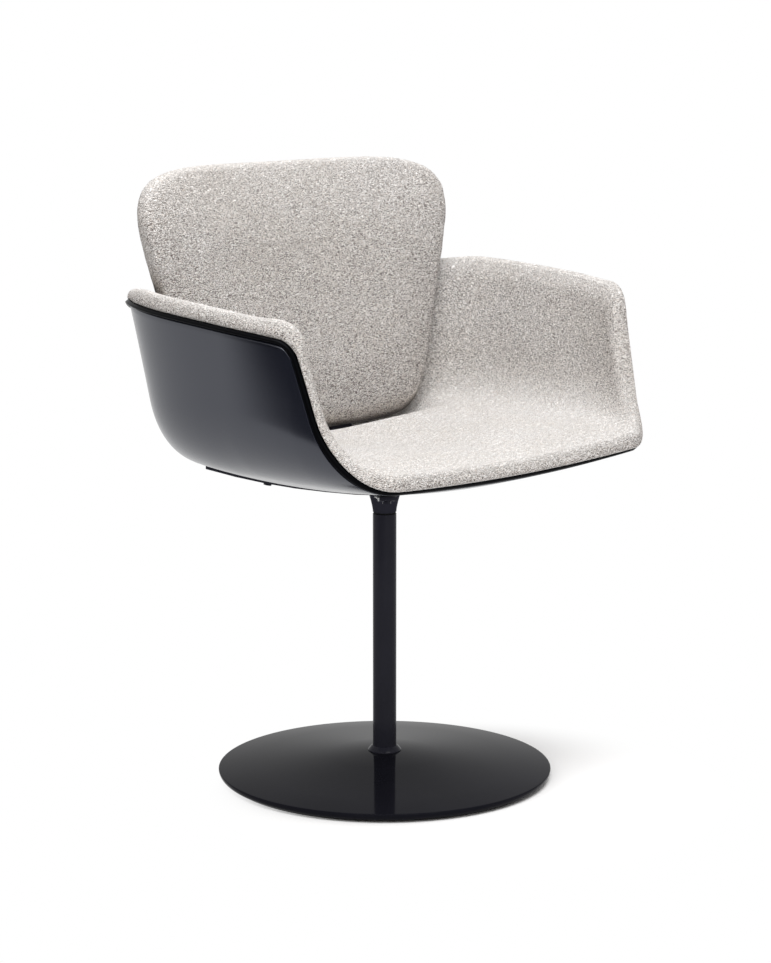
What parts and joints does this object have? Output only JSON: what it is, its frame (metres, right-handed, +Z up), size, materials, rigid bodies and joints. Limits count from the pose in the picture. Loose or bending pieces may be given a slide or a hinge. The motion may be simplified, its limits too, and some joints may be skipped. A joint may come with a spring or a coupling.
{
  "type": "pedestal swivel armchair",
  "caption": "Upholstered swivel armchair: moulded double shell with low arms and a back cushion on a round column and disc base.",
  "frame": {"origin": "centre of the glide ring's lower face, on the floor at the column axis", "axes": "+Z up along the column, the sitter faces -Y, +X to the sitter's left"},
  "size_m": [0.6676, 0.4884, 0.8024],
  "materials": {
    "black_enamel": "satin-gloss black powder coat",
    "shell_gloss": "glossy near-black moulded shell",
    "boucle": "cream boucle with darker flecks",
    "steel": "plain bright steel",
    "rubber_black": "matt black",
    "bush_plastic": "plain bearing plastic",
    "ply": "raw plywood"
  },
  "bodies": {
    "pedestal": {"base_disc": "black_enamel", "glide_ring": "rubber_black", "foot_ring": "black_enamel", "column_tube": "black_enamel", "tube_plug": "steel", "draw_bolt": "steel", "draw_washer": "steel", "lower_bush": "bush_plastic", "upper_bush": "bush_plastic"},
    "seat": {"swivel_shaft": "steel", "shaft_washer": "steel", "shaft_circlip": "steel", "collar": "black_enamel", "star_bracket": "black_enamel", "bracket_pads": "rubber_black", "seat_screws": "black_enamel", "thread_inserts": "steel", "outer_shell": "shell_gloss", "inner_shell": "shell_gloss", "seat_pad": "boucle", "back_brackets": "black_enamel", "bracket_rivets": "steel", "back_board": "ply", "board_screws": "steel", "back_cushion": "boucle"}
  },
  "joints": [
    {"name": "swivel", "type": "hinge", "parent": "pedestal", "child": "seat", "pos_m": [0, 0, 0.354], "axis": [0, 0, 1], "continuous": true}
  ]
}
